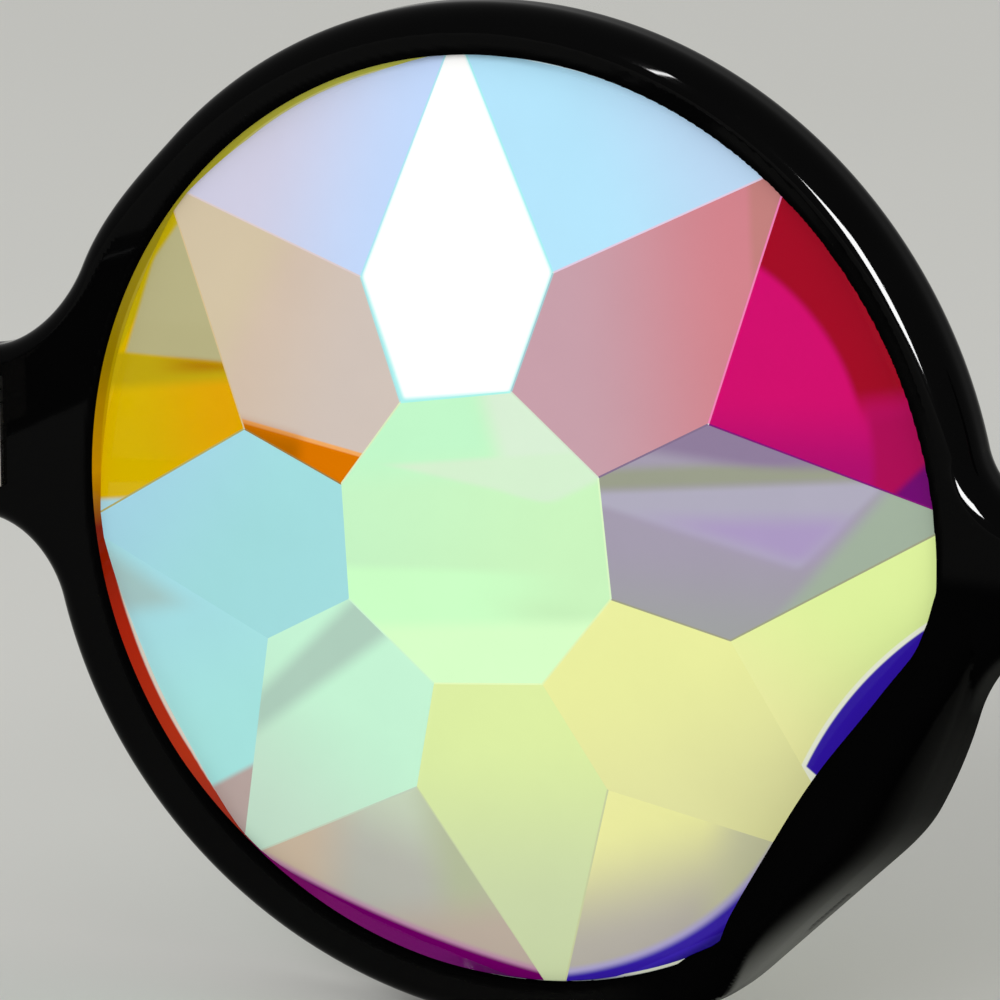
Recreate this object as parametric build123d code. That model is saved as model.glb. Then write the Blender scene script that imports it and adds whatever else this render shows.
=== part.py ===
from build123d import *
from math import cos, radians, sin
import os

# Diffraction glasses: a moulded black front with two thick faceted glass lenses, and two
# folding temples on barrel hinges. All lengths are in millimetres and angles in degrees.
# +Z is up, the front faces -Y, the wearer is on the +Y side and +X is the wearer's left.
# The glasses stand as on a table: the rims and the temple tips touch the plane z = 0,
# and the origin is under the middle of their bounding box.
# Left pieces are modelled, and right ones are their mirror images.

# Driving sizes of the front
bridge_gap = 17.2  # between the two rims
rim_wall = 1.2  # from the glass's edge to the rim's outer wall
lip_overlap = 1.2  # how far the rim reaches over the glass, in front and behind
front_lip = 0.75  # plastic in front of the glass
back_lip = 0.75  # plastic behind the glass
back_edge_radius = 0.9
front_edge_radius = 1.5
lip_edge_radius = 0.25

# Driving sizes of a lens
girdle_radius = 24.2
glass_edge = 2.0  # thickness at the rim
crown_height = 3.8  # from the girdle to the flat table
table_radius = 7.75  # to the corners of the octagonal table
wide_radius = 13.72  # to the corners where the kite facets are widest
facet_count = 8
facet_twist = 6.8  # turn of the facet pattern in the rim
seat_clearance = 0.05  # between the glass and its groove
bead_width = 0.45  # clear cement in the corner behind the glass
bead_height = 0.55

# Bridge
bridge_height = 6.0
bridge_rise = 0.8  # how far the bridge arches up
bridge_top_fillet = 3.0
bridge_bottom_fillet = 4.0

# Nose flanks and nose pads, with angles about the lens axis from the bridge side
nose_flank_angle = -47.5
nose_flank_cut = 0.75  # how deep the straight flank is cut into the round rim
pad_start_angle = -5.0
pad_end_angle = -61.0
pad_height = 4.7  # how far a pad stands behind the rim
pad_overhang = 2.3  # how far a pad reaches over the glass
pad_inset = 0.2  # from the nose flank in to the pad's outer wall
pad_floor = 0.8  # gap from the rim's back face up to the overhang
pad_sink = 0.5  # how deep the ends of a pad start in the rim
pad_bury = 0.15  # how far the ends of a pad lie under the rim's back face
pad_root_inset = 0.2  # from the lip's wall to the pad's foot
pad_root_embed = 0.7  # how far the foot runs up into the pad
pad_root_shares = (0.15, 0.87)  # where along the pad its foot starts and ends
pad_round_share = 0.42  # corner radius as a share of a section's short side
# How far along the pad a section is, then its height and its overhang
pad_section_shares = [
    (0.0, 0.0, 0.0),
    (0.18, 0.6, 0.5),
    (0.4, 0.96, 1.0),
    (0.64, 1.0, 0.95),
    (0.84, 0.68, 0.5),
    (1.0, 0.0, 0.0),
]

# Endpieces
endpiece_height = 8.6
hinge_rise = 1.6  # hinge centre above the lens centre
endpiece_top_fillet = 5.0
endpiece_bottom_fillet = 3.5
endpiece_depth = 7.1  # from the front face to the joint with the temple
arm_thickness = 3.6
arm_edge_radius = 1.0

# Temples
temple_gap = 0.15  # between an endpiece and an open temple
temple_straight = 95.0
temple_taper = 62.0  # length over which the temple narrows
temple_slim_height = 5.0
bend_radius = 22.0  # of the centreline behind the ear
bend_angle = 42.0
tip_radius = 3.1
taper_blend_radius = 40.0

# Hinges, screws and washers
barrel_radius = 1.5
barrel_clearance = 0.1  # between a barrel and the plastic beside it
hinge_height = 5.4
knuckle_gap = 0.2
leaf_thickness = 0.9
leaf_recess = 0.6  # how deep a front leaf is let into the endpiece
leaf_height = 5.6
leaf_clearance = 0.03
front_leaf_start = 2.6  # from the rim's outer edge
temple_leaf_length = 10.0
web_width = 2.2
screw_radius = 0.7
screw_clearance = 0.04
screw_head_radius = 1.1
screw_head_height = 0.6
screw_slot_width = 0.35
screw_slot_depth = 0.3
washer_thickness = 0.14
washer_radius = 1.35

# Rivets
rivet_radius = 0.5
rivet_head_radius = 0.85
rivet_head_height = 0.35
rivet_clearance = 0.02
rivet_edge = 0.2  # from a front rivet's head to the end of its leaf
front_rivet_pitch = 2.1
temple_rivet_inset = 4.0
temple_rivet_pitch = 3.8

# Core wires in the temples
core_radius = 0.65
core_clearance = 0.05
core_start_gap = 2.0  # behind the hinge leaf
core_end_gap = 5.0  # ahead of the tip's centre

overrun = 1.0  # how far a cutting shape passes what it cuts

# Places that follow
lens_opening_radius = girdle_radius - lip_overlap
rim_outer_radius = girdle_radius + rim_wall
nose_flank_distance = rim_outer_radius - nose_flank_cut
pad_outer_radius = nose_flank_distance - pad_inset
rim_depth = front_lip + glass_edge + 2 * seat_clearance + back_lip
lens_z = rim_outer_radius
hinge_z = lens_z + hinge_rise
bend_turn = radians(bend_angle)
bend_drop = bend_radius * (1 - cos(bend_turn))
bend_run = bend_radius * sin(bend_turn)
tip_straight = (hinge_z - tip_radius - bend_drop) / sin(bend_turn)
tip_run = tip_straight * cos(bend_turn)
overall_depth = endpiece_depth + temple_gap + temple_straight + bend_run + tip_run + tip_radius

front_y = -overall_depth / 2
back_y = front_y + rim_depth
glass_front_y = front_y + front_lip + seat_clearance
girdle_y = glass_front_y + glass_edge
hinge_y = front_y + endpiece_depth
temple_y = hinge_y + temple_gap
bend_y = temple_y + temple_straight

lens_x = bridge_gap / 2 + rim_outer_radius
front_leaf_x = lens_x + rim_outer_radius + front_leaf_start
front_rivet_inset = rivet_head_radius + rivet_edge
hinge_x = front_leaf_x + 2 * front_rivet_inset + front_rivet_pitch + web_width / 2
arm_x = hinge_x + barrel_radius + barrel_clearance
side_x = arm_x + arm_thickness

knuckle_height = (hinge_height - 2 * knuckle_gap) / 3
hinge_low_z = hinge_z - hinge_height / 2
hinge_high_z = hinge_z + hinge_height / 2
leaf_low_z = hinge_z - leaf_height / 2
leaf_high_z = hinge_z + leaf_height / 2
front_leaf_y = back_y - leaf_recess
front_leaf_back_y = front_leaf_y + leaf_thickness
front_leaf_end_x = hinge_x + web_width / 2


def block(low, high):
    """A box between two opposite corners."""
    size = [b - a for a, b in zip(low, high)]
    middle = [(a + b) / 2 for a, b in zip(low, high)]
    return Pos(*middle) * Box(*size)


def rod_x(radius, x_from, x_to, y, z):
    return Pos((x_from + x_to) / 2, y, z) * Rot(0, 90, 0) * Cylinder(radius, x_to - x_from)


def rod_y(radius, y_from, y_to, x, z):
    return Pos(x, (y_from + y_to) / 2, z) * Rot(90, 0, 0) * Cylinder(radius, y_to - y_from)


def rod_z(radius, z_from, z_to, x, y):
    return Pos(x, y, (z_from + z_to) / 2) * Cylinder(radius, z_to - z_from)


def lens_point(radius, angle, height):
    """A point about the left lens's axis, by angle from the bridge side and height of crown."""
    turn = radians(angle)
    return Vector(lens_x - radius * cos(turn), girdle_y + height, lens_z + radius * sin(turn))


def lens_plane(angle):
    """The plane through the left lens's axis at an angle: X is outwards and Y is depth."""
    turn = radians(angle)
    outwards = Vector(-cos(turn), 0, sin(turn))
    across = Vector(-sin(turn), 0, -cos(turn))
    return Plane(origin=(lens_x, 0, lens_z), x_dir=outwards, z_dir=across)


lens_axis = Axis((lens_x, 0, lens_z), (0, 1, 0))


# Lenses and their cement


def facet_ring(radius, height, step_share):
    """The corners of one ring of the facet pattern, which starts part of a step round."""
    step = 360 / facet_count
    angles = [facet_twist + step * (i + step_share) for i in range(facet_count)]
    return [lens_point(radius, angle, height) for angle in angles]


def polygon(points):
    return Face(Wire.make_polygon(points, close=True))


def make_lens():
    """A glass disc with a flat front and a crown: a table, kites round it and outer facets.

    The crown is edged to pass through the rim's opening, so that the back lip lies flat.
    """
    half_step = radians(180 / facet_count)
    table_reach = girdle_radius - table_radius * cos(half_step)
    wide_reach = girdle_radius - wide_radius * cos(half_step)
    wide_height = crown_height * wide_reach / table_reach  # this keeps each kite flat
    tips = facet_ring(girdle_radius, 0, 0)
    wides = facet_ring(wide_radius, wide_height, 1 / 2)
    corners = facet_ring(table_radius, crown_height, 1 / 2)
    faces = [polygon(corners), polygon(tips)]
    for i in range(facet_count):
        after = (i + 1) % facet_count
        kite = [corners[i - 1], wides[i - 1], tips[i], wides[i], corners[i]]
        faces.append(polygon(kite))
        faces.append(polygon([tips[i], wides[i], tips[after]]))
    crown_radius = lens_opening_radius - seat_clearance
    crown = Solid(Shell(faces))
    crown &= rod_y(crown_radius, glass_front_y, girdle_y + crown_height, lens_x, lens_z)
    disc = rod_y(girdle_radius, glass_front_y, girdle_y, lens_x, lens_z)
    return disc + crown


def make_lens_bead(lens):
    """The cement fillet between the back lip's wall and the glass, cut to the facets."""
    corner = (lens_opening_radius, girdle_y)
    inner = (lens_opening_radius - bead_width, girdle_y)
    upper = (lens_opening_radius, girdle_y + bead_height)
    section = lens_plane(0) * make_face(Polyline(corner, inner, upper, close=True))
    return revolve(section, axis=lens_axis) - lens


# Front


def round_corners(outline, across, up, radius):
    """Rounds the corners in a window, on the left and on the right, given as two pairs."""
    chosen = []
    for corner in outline.vertices():
        if across[0] < abs(corner.X) < across[1] and up[0] < corner.Y < up[1]:
            chosen.append(corner)
    return fillet(chosen, radius)


def front_outline():
    """The outline of the front, with X across and Y up."""
    rim = Pos(lens_x, lens_z) * Circle(rim_outer_radius)
    beyond = Rectangle(rim_outer_radius, 2 * rim_outer_radius)
    beyond = Pos(nose_flank_distance + rim_outer_radius / 2, 0) * beyond
    rim -= Pos(lens_x, lens_z) * Rot(0, 0, 180 - nose_flank_angle) * beyond
    length = side_x - lens_x
    rim += Pos(lens_x + length / 2, hinge_z) * Rectangle(length, endpiece_height)
    end = lens_x - (rim_outer_radius + lens_opening_radius) / 2
    top = lens_z + bridge_height / 2
    bottom = lens_z - bridge_height / 2
    bridge = make_face(
        [
            ThreePointArc((-end, top), (0, top + bridge_rise), (end, top)),
            Line((end, top), (end, bottom)),
            ThreePointArc((end, bottom), (0, bottom + bridge_rise), (-end, bottom)),
            Line((-end, bottom), (-end, top)),
        ]
    )
    outline = rim + mirror(rim, about=Plane.YZ) + bridge
    inner = (0, lens_x)
    outer = (lens_x, arm_x)
    above = (lens_z, lens_z + bridge_height)
    below = (lens_z - bridge_height, lens_z)
    outline = round_corners(outline, inner, above, bridge_top_fillet)
    outline = round_corners(outline, inner, below, bridge_bottom_fillet)
    ends = [corner for corner in outline.vertices() if abs(corner.X) > arm_x]
    outline = fillet(ends, arm_edge_radius)
    outline = round_corners(outline, outer, (hinge_z, 2 * lens_z), endpiece_top_fillet)
    return round_corners(outline, outer, (0, hinge_z), endpiece_bottom_fillet)


def make_pad():
    """A nose pad for the left rim: a rounded fin that rises, leans over the glass and falls."""
    sweep_angle = pad_end_angle - pad_start_angle
    foot_radius = lens_opening_radius + pad_root_inset
    sections = []
    for along, height_share, overhang_share in pad_section_shares:
        inner = foot_radius - (pad_overhang + pad_root_inset) * overhang_share
        bottom = back_y - pad_sink + (pad_sink + pad_floor) * overhang_share
        top = back_y - pad_bury + (pad_height + pad_bury) * height_share
        width = pad_outer_radius - inner
        height = top - bottom
        shape = RectangleRounded(width, height, pad_round_share * min(width, height))
        middle = Pos(inner + width / 2, bottom + height / 2)
        sections.append(lens_plane(pad_start_angle + sweep_angle * along) * middle * shape)
    fin = loft(sections)
    start, end = [pad_start_angle + sweep_angle * share for share in pad_root_shares]
    root_height = pad_sink + pad_floor + pad_root_embed
    root_width = pad_outer_radius - foot_radius
    root = Pos(foot_radius + root_width / 2, back_y - pad_sink + root_height / 2)
    root = lens_plane(end) * root * Rectangle(root_width, root_height)
    return fin + revolve(root, axis=lens_axis, revolution_arc=start - end)


def make_front():
    """The moulded front: rims, bridge, nose pads and endpieces in one piece of plastic."""
    plate = extrude(Plane.XZ.offset(-back_y) * front_outline(), amount=rim_depth)
    plate = fillet(plate.faces().sort_by(Axis.Y)[-1].edges(), back_edge_radius)
    plate = fillet(plate.faces().sort_by(Axis.Y)[0].edges(), front_edge_radius)
    for x in (lens_x, -lens_x):
        plate -= rod_y(lens_opening_radius, front_y - overrun, back_y + overrun, x, lens_z)
    lips = [e for e in plate.edges().filter_by(GeomType.CIRCLE) if is_lip(e)]
    plate = fillet(lips, lip_edge_radius)
    leg = Plane.XZ.offset(-hinge_y) * Pos(side_x - arm_thickness / 2, hinge_z)
    leg *= RectangleRounded(arm_thickness, endpiece_height, arm_edge_radius)
    added = make_pad() + extrude(leg, amount=endpiece_depth - front_edge_radius)
    front = plate + added + mirror(added, about=Plane.YZ)
    cuts = front_hinge_cuts()
    groove_radius = girdle_radius + seat_clearance
    groove_from = glass_front_y - seat_clearance
    cuts += rod_y(groove_radius, groove_from, girdle_y + seat_clearance, lens_x, lens_z)
    return front - cuts - mirror(cuts, about=Plane.YZ)


def is_lip(edge):
    return abs(edge.radius - lens_opening_radius) < lip_edge_radius


def front_rivet_places():
    first = front_leaf_x + front_rivet_inset
    return [first, first + front_rivet_pitch]


def front_hinge_cuts():
    """The recess for the front leaf of the left hinge, and the holes for its rivets."""
    low = (front_leaf_x - leaf_clearance, front_leaf_y, leaf_low_z - leaf_clearance)
    high = (front_leaf_end_x + leaf_clearance, back_y + overrun, leaf_high_z + leaf_clearance)
    cuts = block(low, high)
    for x in front_rivet_places():
        cuts += rod_y(rivet_radius + rivet_clearance, front_y - overrun, back_y, x, hinge_z)
        head_radius = rivet_head_radius + rivet_clearance
        head_y = front_y + rivet_head_height
        cuts += rod_y(head_radius, front_y - overrun, head_y, x, hinge_z)
    return cuts


# Hinges


def screw_bore():
    radius = screw_radius + screw_clearance
    return rod_z(radius, hinge_low_z - overrun, hinge_high_z + overrun, hinge_x, hinge_y)


def make_hinge_front():
    """The front leaf of the left hinge: a plate with the top and bottom knuckles."""
    low = (front_leaf_x, front_leaf_y, leaf_low_z)
    leaf = block(low, (front_leaf_end_x, front_leaf_back_y, leaf_high_z))
    for z in (hinge_low_z, hinge_high_z - knuckle_height):
        leaf += rod_z(barrel_radius, z, z + knuckle_height, hinge_x, hinge_y)
        low = (hinge_x - web_width / 2, front_leaf_y, z)
        leaf += block(low, (front_leaf_end_x, hinge_y, z + knuckle_height))
    leaf -= screw_bore()
    head_z = hinge_high_z - screw_head_height
    head_radius = screw_head_radius + screw_clearance
    leaf -= rod_z(head_radius, head_z, hinge_high_z + overrun, hinge_x, hinge_y)
    for x in front_rivet_places():
        leaf -= rod_y(rivet_radius + rivet_clearance, front_y, back_y + overrun, x, hinge_z)
    return leaf


def make_hinge_temple():
    """The temple leaf of the left hinge: a plate let into the temple, with the mid knuckle."""
    low = (arm_x, temple_y, leaf_low_z)
    leaf_x = arm_x + leaf_thickness
    leaf = block(low, (leaf_x, temple_y + temple_leaf_length, leaf_high_z))
    z = hinge_z - knuckle_height / 2
    leaf += rod_z(barrel_radius, z, z + knuckle_height, hinge_x, hinge_y)
    web_high = (leaf_x, hinge_y + barrel_radius, z + knuckle_height)
    leaf += block((hinge_x, temple_y, z), web_high)
    leaf -= screw_bore()
    for y in temple_rivet_places():
        leaf -= rod_x(rivet_radius + rivet_clearance, arm_x - overrun, side_x, y, hinge_z)
    return leaf


def make_hinge_screw():
    """A slotted screw, down through the three knuckles of the left hinge."""
    head_z = hinge_high_z - screw_head_height
    screw = rod_z(screw_radius, hinge_low_z, head_z, hinge_x, hinge_y)
    screw += rod_z(screw_head_radius, head_z, hinge_high_z, hinge_x, hinge_y)
    low = (hinge_x - screw_head_radius, hinge_y - screw_slot_width / 2)
    high = (hinge_x + screw_head_radius, hinge_y + screw_slot_width / 2)
    slot_z = hinge_high_z - screw_slot_depth
    return screw - block((*low, slot_z), (*high, hinge_high_z + overrun))


def make_hinge_washers():
    """The two thin nylon washers between the knuckles of the left hinge."""
    washers = []
    for side in (-1, 1):
        middle = hinge_z + side * (knuckle_height + knuckle_gap) / 2
        low = middle - washer_thickness / 2
        washers.append(rod_z(washer_radius, low, low + washer_thickness, hinge_x, hinge_y))
    return [washer - screw_bore() for washer in washers]


def make_front_rivets():
    """The two rivets that hold the front leaf: flush in front and domed over the leaf."""
    rivets = []
    for x in front_rivet_places():
        rivet = rod_y(rivet_radius, front_y, front_leaf_back_y, x, hinge_z)
        rivet += rod_y(rivet_head_radius, front_y, front_y + rivet_head_height, x, hinge_z)
        back = front_leaf_back_y + rivet_head_height
        rivet += rod_y(rivet_head_radius, front_leaf_back_y, back, x, hinge_z)
        rivets.append(rivet)
    return rivets


# Temples


def temple_rivet_places():
    first = temple_y + temple_rivet_inset
    return [first, first + temple_rivet_pitch]


def make_temple_rivets():
    """The two rivets that hold the temple leaf: flush outside and raised over the leaf."""
    rivets = []
    for y in temple_rivet_places():
        rivet = rod_x(rivet_radius, arm_x, side_x, y, hinge_z)
        rivet += rod_x(rivet_head_radius, side_x - rivet_head_height, side_x, y, hinge_z)
        rivet += rod_x(rivet_head_radius, arm_x - rivet_head_height, arm_x, y, hinge_z)
        rivets.append(rivet)
    return rivets


def bend_point(reach, turn):
    """A point on an arc about the ear bend's centre, at a turn down from its start."""
    return (bend_y + reach * sin(turn), hinge_z - bend_radius + reach * cos(turn))


def temple_outline():
    """The side view of a temple, with X along the temple and Y up."""
    half = temple_slim_height / 2
    wide = endpiece_height / 2
    taper_y = temple_y + temple_taper
    centre_y, centre_z = bend_point(bend_radius, bend_turn)
    along = (cos(bend_turn), -sin(bend_turn))
    up = (sin(bend_turn), cos(bend_turn))
    tip_y = centre_y + tip_straight * along[0]
    tip_z = centre_z + tip_straight * along[1]
    tip_top = (tip_y + tip_radius * up[0], tip_z + tip_radius * up[1])
    tip_end = (tip_y + tip_radius * along[0], tip_z + tip_radius * along[1])
    tip_bottom = (tip_y - tip_radius * up[0], tip_z - tip_radius * up[1])
    outer = [bend_point(bend_radius + half, bend_turn * share) for share in (0, 1 / 2, 1)]
    inner = [bend_point(bend_radius - half, bend_turn * share) for share in (0, 1 / 2, 1)]
    edges = [
        Line((temple_y, hinge_z + wide), (taper_y, hinge_z + half)),
        Line((taper_y, hinge_z + half), outer[0]),
        ThreePointArc(*outer),
        Line(outer[2], tip_top),
        ThreePointArc(tip_top, tip_end, tip_bottom),
        Line(tip_bottom, inner[2]),
        ThreePointArc(*reversed(inner)),
        Line(inner[0], (taper_y, hinge_z - half)),
        Line((taper_y, hinge_z - half), (temple_y, hinge_z - wide)),
        Line((temple_y, hinge_z - wide), (temple_y, hinge_z + wide)),
    ]
    outline = make_face(edges)
    tapers = [v for v in outline.vertices() if abs(v.X - taper_y) < overrun]
    return fillet(tapers, taper_blend_radius)


def core_path():
    """The centreline of a core wire: straight, round the ear bend and down the tip."""
    start_y = temple_y + temple_leaf_length + core_start_gap
    middle, end = [bend_point(bend_radius, bend_turn * share) for share in (1 / 2, 1)]
    length = tip_straight - core_end_gap
    last = (end[0] + length * cos(bend_turn), end[1] - length * sin(bend_turn))
    edges = [
        Line((start_y, hinge_z), (bend_y, hinge_z)),
        ThreePointArc((bend_y, hinge_z), middle, end),
        Line(end, last),
    ]
    return Plane.YZ.offset(side_x - arm_thickness / 2) * Wire(edges)


def make_core(radius):
    """A round wire of some radius along the core's path."""
    path = core_path()
    section = Plane(origin=path @ 0, z_dir=path % 0) * Circle(radius)
    return sweep(section, path=path)


def make_temple():
    """The left temple, moulded round its core wire, with the recess for its hinge leaf."""
    arm = extrude(Plane.YZ.offset(arm_x) * temple_outline(), amount=arm_thickness)
    sides = arm.faces().filter_by(Plane.YZ).edges()
    long_edges = [e for e in sides if e.center().Y > temple_y + overrun / 2]
    arm = fillet(long_edges, arm_edge_radius)
    low = (arm_x - overrun, temple_y - overrun, leaf_low_z - leaf_clearance)
    end_y = temple_y + temple_leaf_length + leaf_clearance
    arm -= block(low, (arm_x + leaf_thickness, end_y, leaf_high_z + leaf_clearance))
    for y in temple_rivet_places():
        arm -= rod_x(rivet_radius + rivet_clearance, arm_x, side_x + overrun, y, hinge_z)
        head_x = side_x - rivet_head_height
        head_radius = rivet_head_radius + rivet_clearance
        arm -= rod_x(head_radius, head_x, side_x + overrun, y, hinge_z)
    return arm - make_core(core_radius + core_clearance)


# Parts


def write(name, shape):
    """Writes one node, as one solid or as a group of alike solids."""
    solids = shape if isinstance(shape, list) else [shape]
    solids = [s for piece in solids for s in piece.solids()]
    node = solids[0] if len(solids) == 1 else Compound(children=solids)
    node.label = name
    export_step(node, f"parts/{name}.step")
    print(name, len(solids), "solid(s)")


def write_pair(name, shape):
    """Writes a left node and its mirror image as the right one."""
    write(f"{name}_left", shape)
    pieces = shape if isinstance(shape, list) else [shape]
    write(f"{name}_right", [mirror(piece, about=Plane.YZ) for piece in pieces])


os.makedirs("parts", exist_ok=True)
lens = make_lens()
write("front_frame", make_front())
write_pair("lens", lens)
write_pair("lens_bead", make_lens_bead(lens))
write_pair("hinge_front", make_hinge_front())
write_pair("hinge_temple", make_hinge_temple())
write_pair("hinge_screw", make_hinge_screw())
write_pair("hinge_washers", make_hinge_washers())
write_pair("front_rivets", make_front_rivets())
write_pair("temple_rivets", make_temple_rivets())
write_pair("temple_core", make_core(core_radius))
write_pair("temple", make_temple())
print("overall", 2 * side_x, overall_depth, "front", front_y, "girdle", girdle_y)
print("hinge axis", hinge_x, hinge_y, hinge_z, "lens centre", lens_x, lens_z)
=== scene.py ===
# %% [markdown]
# Diffraction glasses: two thick, faceted glass lenses in a black moulded front, with two
# folding temples on barrel hinges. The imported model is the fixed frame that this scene
# dresses. It gives the place of every piece. Sizes that it doesn't hold are named below.

# %% Load the fixed frame
import math

import bmesh
import bpy
import numpy as np
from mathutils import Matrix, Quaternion, Vector


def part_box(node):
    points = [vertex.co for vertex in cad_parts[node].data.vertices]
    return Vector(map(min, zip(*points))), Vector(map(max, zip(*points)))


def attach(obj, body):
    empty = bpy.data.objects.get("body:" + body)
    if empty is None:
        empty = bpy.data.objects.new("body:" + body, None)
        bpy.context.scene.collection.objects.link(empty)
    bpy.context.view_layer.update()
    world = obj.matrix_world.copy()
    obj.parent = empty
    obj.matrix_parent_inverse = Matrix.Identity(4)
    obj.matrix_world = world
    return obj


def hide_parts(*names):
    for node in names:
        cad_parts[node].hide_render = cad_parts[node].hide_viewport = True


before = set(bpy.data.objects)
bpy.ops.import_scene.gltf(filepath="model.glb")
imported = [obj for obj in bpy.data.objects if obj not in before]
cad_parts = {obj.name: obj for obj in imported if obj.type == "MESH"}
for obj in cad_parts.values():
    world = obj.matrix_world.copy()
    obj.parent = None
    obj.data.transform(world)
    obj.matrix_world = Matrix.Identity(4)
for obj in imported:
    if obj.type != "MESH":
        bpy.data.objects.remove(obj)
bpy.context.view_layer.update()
mm = 0.001
scene = bpy.context.scene


def add_object(name, data):
    """An object at the origin that holds a mesh, a lamp or a camera."""
    made = bpy.data.objects.new(name, data)
    scene.collection.objects.link(made)
    return made


# %% [markdown]
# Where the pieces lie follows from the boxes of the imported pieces. The lens gives its
# own centre and radius, the cement ring gives the opening of the rim, the screw gives the
# hinge's axis and the temple gives the side faces.

# %% Places read from the frame
lens_low, lens_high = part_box("lens_left")
bead_low, bead_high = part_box("lens_bead_left")
front_low, front_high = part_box("front_frame")
temple_low, temple_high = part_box("temple_left")
leaf_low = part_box("hinge_front_left")[0]
screw_low, screw_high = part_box("hinge_screw_left")

lens_x = (lens_low.x + lens_high.x) / 2
lens_z = (lens_low.z + lens_high.z) / 2
glass_radius = (lens_high.x - lens_low.x) / 2
opening_radius = (bead_high.x - bead_low.x) / 2
rim_radius = lens_z - front_low.z
front_y = front_low.y
girdle_y = bead_low.y
glass_front_y = lens_low.y
table_y = lens_high.y
side_x = front_high.x
arm_x = temple_low.x
temple_y = temple_low.y
hinge_y = (screw_low.y + screw_high.y) / 2
hinge_z = (screw_low.z + screw_high.z) / 2
print("lens centre", lens_x, girdle_y, lens_z, "radius", glass_radius)

# %% [markdown]
# The photograph is a close view of the wearer's left lens, from the wearer's side and a
# little above. A long lens far away gives its flat perspective. The camera aims at the
# middle of the lens, in the plane where the facets meet the rim.

# %% Camera
view_azimuth = math.radians(207.52)
view_elevation = math.radians(13.98)
view_distance = 380 * mm
aim_right = -0.42 * mm
aim_up = 1.05 * mm
focal_length = 282.5
sensor_width = 36.0


def make_camera():
    """A camera on a line from the middle of the left lens, back towards the photographer."""
    azimuth, elevation = view_azimuth, view_elevation
    level = math.cos(elevation)
    back = Vector((math.sin(azimuth) * level, -math.cos(azimuth) * level, math.sin(elevation)))
    turn = (-back).to_track_quat("-Z", "Y")
    aim = Vector((lens_x, girdle_y, lens_z))
    aim += turn @ Vector((aim_right, aim_up, 0))
    data = bpy.data.cameras.new("camera")
    data.lens = focal_length
    data.sensor_width = sensor_width
    data.clip_start = 10 * mm
    camera = add_object("camera", data)
    camera.location = aim + back * view_distance
    camera.rotation_mode = "QUATERNION"
    camera.rotation_quaternion = turn
    scene.camera = camera
    return camera


camera = make_camera()
print("camera at", tuple(round(c / mm, 1) for c in camera.location), "mm")

# %% [markdown]
# A material is a small tree of nodes. These helpers keep each tree short: one adds a node
# and joins or sets its inputs in order, one does a sum, and one mixes two colours. A hex
# colour is written as it looks on a screen, and is turned to the linear value that the
# renderer works in.


# %% Helpers for materials
def linear(text):
    """A screen colour such as C8F8C4 as linear red, green, blue and alpha."""
    screen = [int(text[i : i + 2], 16) / 255 for i in (0, 2, 4)]
    light = [c / 12.92 if c <= 0.04045 else ((c + 0.055) / 1.055) ** 2.4 for c in screen]
    return (*light, 1.0)


def plug(tree, socket, value):
    """Joins an input to another node's output, or sets it to a plain value."""
    if isinstance(value, bpy.types.NodeSocket):
        tree.links.new(value, socket)
    else:
        socket.default_value = value


def add_node(tree, kind, inputs=(), **settings):
    """Adds a node, with its inputs by name or by number and its settings by name."""
    node = tree.nodes.new(kind)
    for name, value in settings.items():
        setattr(node, name, value)
    for name, value in dict(inputs).items():
        plug(tree, node.inputs[name], value)
    return node


def calc(tree, operation, *values):
    """One Math node."""
    return add_node(tree, "ShaderNodeMath", enumerate(values), operation=operation).outputs[0]


def blend_colours(tree, share, first, second, way="MIX"):
    """One colour Mix node."""
    node = add_node(tree, "ShaderNodeMix", data_type="RGBA", blend_type=way)
    for number, value in ((0, share), (6, first), (7, second)):
        plug(tree, node.inputs[number], value)
    return node.outputs[2]


def ramp(tree, value, start, end):
    """Rises smoothly from 0 to 1 as a value goes from start to end."""
    inputs = {"Value": value, "From Min": start, "From Max": end}
    node = add_node(tree, "ShaderNodeMapRange", inputs, interpolation_type="SMOOTHSTEP")
    return node.outputs["Result"]


def noise(tree, place, scale, detail=2.0, stretch=(1.0, 1.0, 1.0)):
    """Smooth random shade at a scale, in waves per metre, stretched along the axes."""
    spread = add_node(tree, "ShaderNodeMapping", {"Vector": place, "Scale": stretch})
    inputs = {"Vector": spread.outputs[0], "Scale": scale, "Detail": detail}
    return add_node(tree, "ShaderNodeTexNoise", inputs).outputs["Fac"]


def new_material(name, **values):
    """A material with one Principled shader, and the object's own coordinates."""
    material = bpy.data.materials.new(name)
    material.use_nodes = True
    tree = material.node_tree
    shader = tree.nodes["Principled BSDF"]
    for socket, value in values.items():
        shader.inputs[socket.replace("_", " ")].default_value = value
    place = tree.nodes.new("ShaderNodeTexCoord").outputs["Object"]
    return material, tree, shader, place


def lens_axes(tree, place):
    """How far a place is from the nearer lens's axis: across towards the bridge, and up."""
    axes = add_node(tree, "ShaderNodeSeparateXYZ", {0: place}).outputs
    across = calc(tree, "SUBTRACT", lens_x, calc(tree, "ABSOLUTE", axes["X"]))
    return across, calc(tree, "SUBTRACT", axes["Z"], lens_z)


def read_attribute(tree, name, output="Color"):
    return add_node(tree, "ShaderNodeAttribute", attribute_name=name).outputs[output]


def add_bump(tree, shader, height, distance, strength=1.0):
    inputs = {"Height": height, "Distance": distance, "Strength": strength}
    bump = add_node(tree, "ShaderNodeBump", inputs)
    plug(tree, shader.inputs["Normal"], bump.outputs[0])


# %% [markdown]
# The studio is plain: a pale floor, a soft sky all round and one broad soft lamp. Two small
# lamps light only the plastic: one draws the long bright streak along the rim's rounded
# edge and the other the short dash. Rays from the camera and reflections see the same
# pale grey sky.

# %% Studio
sky_light = 0.62
sky_seen = 0.42
floor_size = 3.0
floor_colour = linear("E4E4E0")


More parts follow.
